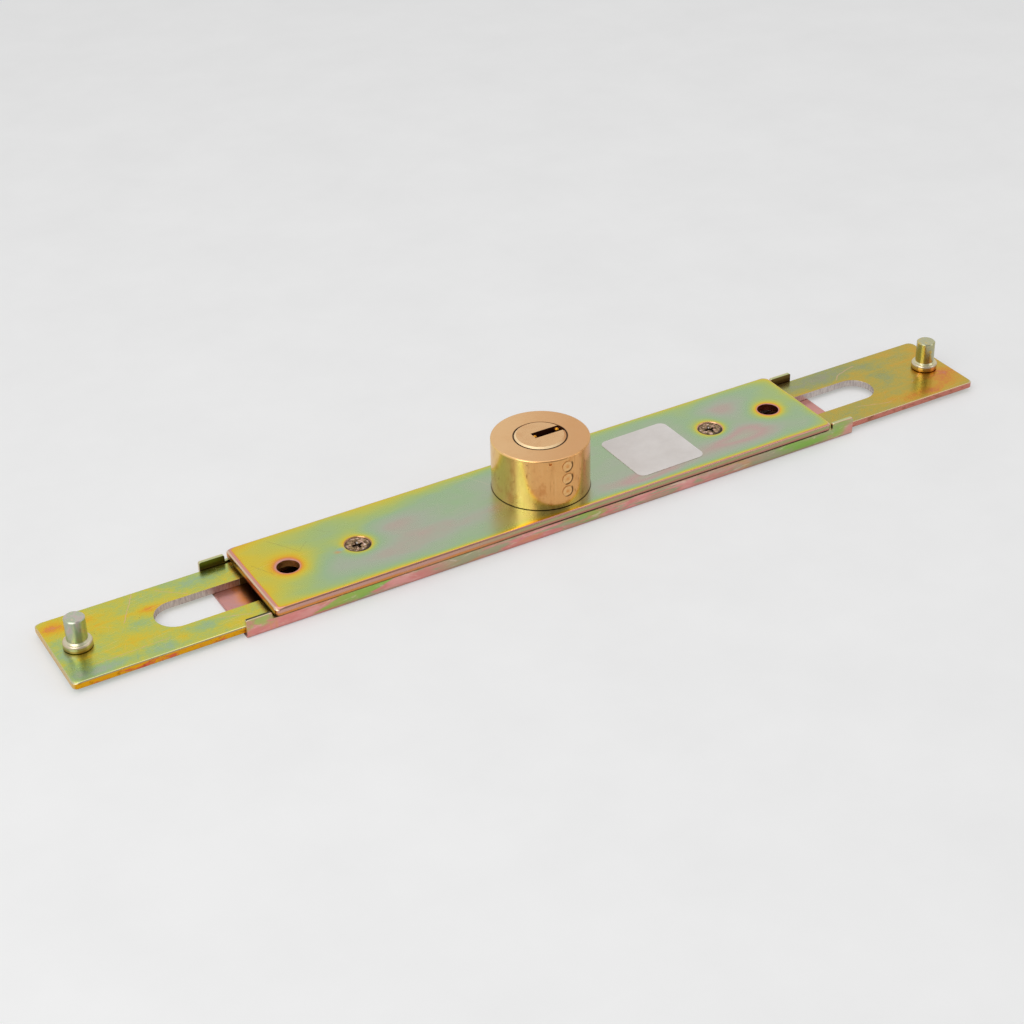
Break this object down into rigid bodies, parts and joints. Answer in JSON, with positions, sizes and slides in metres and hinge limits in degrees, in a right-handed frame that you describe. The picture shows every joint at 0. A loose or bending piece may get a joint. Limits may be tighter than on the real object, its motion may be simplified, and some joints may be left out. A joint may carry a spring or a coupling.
{
  "type": "roller shutter lock",
  "caption": "Flat roller shutter centre lock with a steel channel and cover, two sliding bolt bars with end studs, and a round brass key cylinder.",
  "frame": {"origin": "on the cylinder's axis, at the back face of the base channel", "axes": "+X along the lock towards the right bolt, +Y across it, +Z out of the shutter towards the key"},
  "size_m": [0.414, 0.0476, 0.0322],
  "materials": {
    "zinc_base": "yellow zinc plate",
    "zinc_cover": "yellow zinc plate",
    "zinc_bar": "yellow zinc plate",
    "zinc_pin": "pale zinc plate",
    "inner_steel": "bright zinc plate",
    "screw_zinc": "dulled zinc plate",
    "brass_body": "turned",
    "brass_plug": "satin turned",
    "brass_chamber": "turned flush",
    "brass_pin": "turned",
    "spring_steel": "spring steel",
    "label_paper": "coated sticker"
  },
  "bodies": {
    "base": {"base_channel": "zinc_base", "cover_plate": "zinc_cover", "left_guide_spacer": "inner_steel", "right_guide_spacer": "inner_steel", "cover_screws": "screw_zinc", "cylinder_screws": "inner_steel", "cylinder_body": "brass_body", "cover_label": "label_paper", "upper_pin_spring": "spring_steel", "middle_pin_spring": "spring_steel", "lower_pin_spring": "spring_steel", "upper_chamber_plug": "brass_chamber", "middle_chamber_plug": "brass_chamber", "lower_chamber_plug": "brass_chamber"},
    "left_bolt": {"left_bolt_bar": "zinc_bar", "left_bolt_pin": "zinc_pin"},
    "right_bolt": {"right_bolt_bar": "zinc_bar", "right_bolt_pin": "zinc_pin"},
    "key_barrel": {"cylinder_plug": "brass_plug", "plug_retaining_ring": "spring_steel", "drive_pinion": "inner_steel"},
    "upper_key_pin_body": {"upper_key_pin": "brass_pin"},
    "upper_driver_body": {"upper_driver_pin": "brass_pin"},
    "middle_key_pin_body": {"middle_key_pin": "brass_pin"},
    "middle_driver_body": {"middle_driver_pin": "brass_pin"},
    "lower_key_pin_body": {"lower_key_pin": "brass_pin"},
    "lower_driver_body": {"lower_driver_pin": "brass_pin"}
  },
  "joints": [
    {"name": "left_bolt_slide", "type": "slide", "parent": "base", "child": "left_bolt", "axis": [1, 0, 0], "range_m": [0, 0.04398]},
    {"name": "right_bolt_slide", "type": "slide", "parent": "base", "child": "right_bolt", "axis": [-1, 0, 0], "range_m": [0, 0.04398]},
    {"name": "key_turn", "type": "hinge", "parent": "base", "child": "key_barrel", "pos_m": [0, 0, 0.02], "axis": [0, 0, -1], "range_deg": [0, 360]},
    {"name": "upper_key_pin_drop", "type": "slide", "parent": "key_barrel", "child": "upper_key_pin_body", "axis": [0, 1, 0], "range_m": [0, 0.0012]},
    {"name": "upper_driver_drop", "type": "slide", "parent": "base", "child": "upper_driver_body", "axis": [0, 1, 0], "range_m": [0, 0.0012], "deforming": ["upper_pin_spring"]},
    {"name": "middle_key_pin_drop", "type": "slide", "parent": "key_barrel", "child": "middle_key_pin_body", "axis": [0, 1, 0], "range_m": [0, 0.0015]},
    {"name": "middle_driver_drop", "type": "slide", "parent": "base", "child": "middle_driver_body", "axis": [0, 1, 0], "range_m": [0, 0.0015], "deforming": ["middle_pin_spring"]},
    {"name": "lower_key_pin_drop", "type": "slide", "parent": "key_barrel", "child": "lower_key_pin_body", "axis": [0, 1, 0], "range_m": [0, 0.0009]},
    {"name": "lower_driver_drop", "type": "slide", "parent": "base", "child": "lower_driver_body", "axis": [0, 1, 0], "range_m": [0, 0.0009], "deforming": ["lower_pin_spring"]}
  ],
  "couplings": [
    {"joint": "right_bolt_slide", "follows": "left_bolt_slide", "ratio": 1},
    {"joint": "key_turn", "follows": "left_bolt_slide", "rad_per_m": 142.86},
    {"joint": "upper_driver_drop", "follows": "upper_key_pin_drop", "ratio": 1},
    {"joint": "middle_driver_drop", "follows": "middle_key_pin_drop", "ratio": 1},
    {"joint": "lower_driver_drop", "follows": "lower_key_pin_drop", "ratio": 1}
  ]
}
